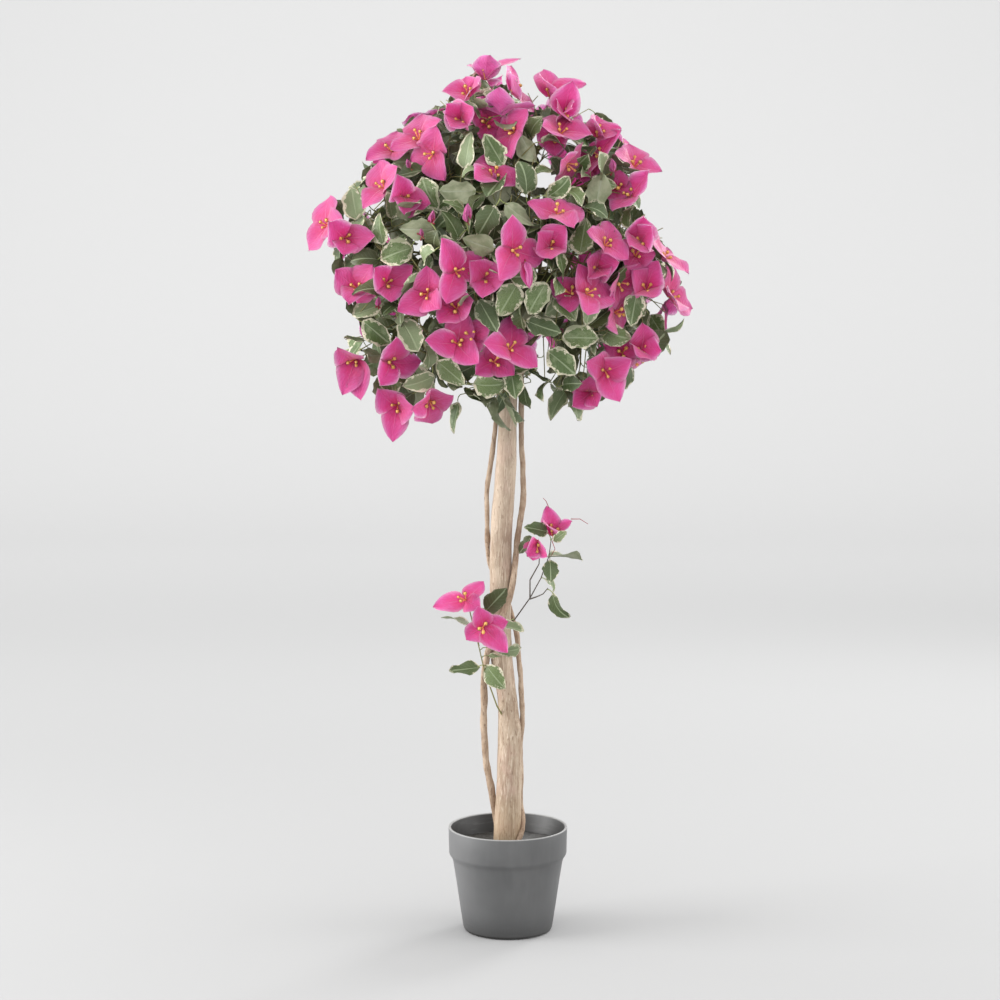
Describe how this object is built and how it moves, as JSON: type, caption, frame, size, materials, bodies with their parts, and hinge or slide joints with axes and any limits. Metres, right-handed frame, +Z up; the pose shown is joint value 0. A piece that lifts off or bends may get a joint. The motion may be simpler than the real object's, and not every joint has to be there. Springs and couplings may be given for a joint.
{
  "type": "artificial bougainvillea tree in pot",
  "caption": "Small standard tree: a straight pale trunk with vines wound round it, a round crown of leafy twigs and pink three-bract blossoms, in a round tapered pot filled to below its rim.",
  "frame": {"origin": "centre of the pot's flat underside", "axes": "+Z up along the pot's axis; the crown's fullest face looks towards -Y, and +X is to the right seen from there"},
  "size_m": [0.4718, 0.4609, 1.0909],
  "materials": {
    "pot": "matte, moulded",
    "fill": "rough cement",
    "trunk": "stripped pale wood, unfinished",
    "vine": "stripped pale wood, unfinished",
    "bough": "smooth thin bark",
    "foliage": "matt leaf and petal cloth on thin stems"
  },
  "bodies": {
    "root": {"bough_back_left": "bough", "bough_back_left_low": "bough", "bough_back_right": "bough", "bough_back_right_low": "bough", "bough_back_top": "bough", "bough_drooping_left": "bough", "bough_drooping_right": "bough", "bough_far_left": "bough", "bough_far_right": "bough", "bough_left": "bough", "bough_lower_left": "bough", "bough_lower_middle": "bough", "bough_middle": "bough", "bough_right": "bough", "bough_right_of_middle": "bough", "bough_side_left": "bough", "bough_side_left_low": "bough", "bough_side_right": "bough", "bough_side_right_low": "bough", "bough_top": "bough", "bough_top_right": "bough", "bough_upper_left": "bough", "bough_upper_middle": "bough", "bough_upper_right": "bough", "foliage_back_left": "foliage", "foliage_back_left_low": "foliage", "foliage_back_right": "foliage", "foliage_back_right_low": "foliage", "foliage_back_top": "foliage", "foliage_drooping_left": "foliage", "foliage_drooping_right": "foliage", "foliage_far_left": "foliage", "foliage_far_right": "foliage", "foliage_left": "foliage", "foliage_lower_left": "foliage", "foliage_lower_middle": "foliage", "foliage_middle": "foliage", "foliage_right": "foliage", "foliage_right_of_middle": "foliage", "foliage_side_left": "foliage", "foliage_side_left_low": "foliage", "foliage_side_right": "foliage", "foliage_side_right_low": "foliage", "foliage_summit": "foliage", "foliage_top": "foliage", "foliage_top_right": "foliage", "foliage_underside": "foliage", "foliage_upper_left": "foliage", "foliage_upper_middle": "foliage", "foliage_upper_right": "foliage", "pot": "pot", "pot_fill": "fill", "shoot_left": "foliage", "shoot_right": "foliage", "trunk": "trunk", "vine_1": "vine", "vine_2": "vine"}
  },
  "joints": []
}
